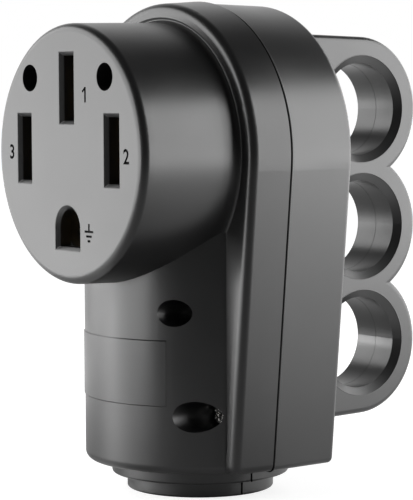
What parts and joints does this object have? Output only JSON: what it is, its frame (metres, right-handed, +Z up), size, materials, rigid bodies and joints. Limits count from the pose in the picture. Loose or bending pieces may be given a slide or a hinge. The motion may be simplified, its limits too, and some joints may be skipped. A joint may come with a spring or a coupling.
{
  "type": "caravan power connector with finger handle",
  "caption": "Right-angle caravan power connector: round socket face with blade slots and a ground opening, column with cord collar, and a finger-ring handle.",
  "frame": {"origin": "centre of the cord entry's mouth, in the collar's bottom face", "axes": "+Z up along the cord axis; the mating face looks toward -Y and the finger rings point toward +Y"},
  "size_m": [0.0706, 0.0989, 0.1141],
  "materials": {
    "housing": "satin black",
    "carrier": "matt black",
    "contact": "bare brass",
    "clamp": "zinc plated",
    "screw": "nickel plated",
    "grommet": "matt black"
  },
  "bodies": {
    "root": {"front_housing": "housing", "socket_face": "housing", "rear_cover": "housing", "contact_carrier": "carrier", "contact_retainer": "carrier", "line_contact_left": "contact", "line_contact_right": "contact", "neutral_contact": "contact", "ground_contact": "contact", "line_left_clamp": "clamp", "line_left_screw": "screw", "line_right_clamp": "clamp", "line_right_screw": "screw", "neutral_clamp": "clamp", "neutral_screw": "screw", "ground_clamp": "clamp", "ground_screw": "screw", "face_screw_left": "screw", "face_screw_right": "screw", "upper_housing_screw_left": "screw", "upper_housing_screw_right": "screw", "lower_housing_screw_left": "screw", "lower_housing_screw_right": "screw", "cord_clamp_screw_left": "screw", "cord_clamp_screw_right": "screw", "retainer_screw_left": "screw", "retainer_screw_right": "screw", "cord_clamp": "clamp", "cord_grommet": "grommet"}
  },
  "joints": []
}
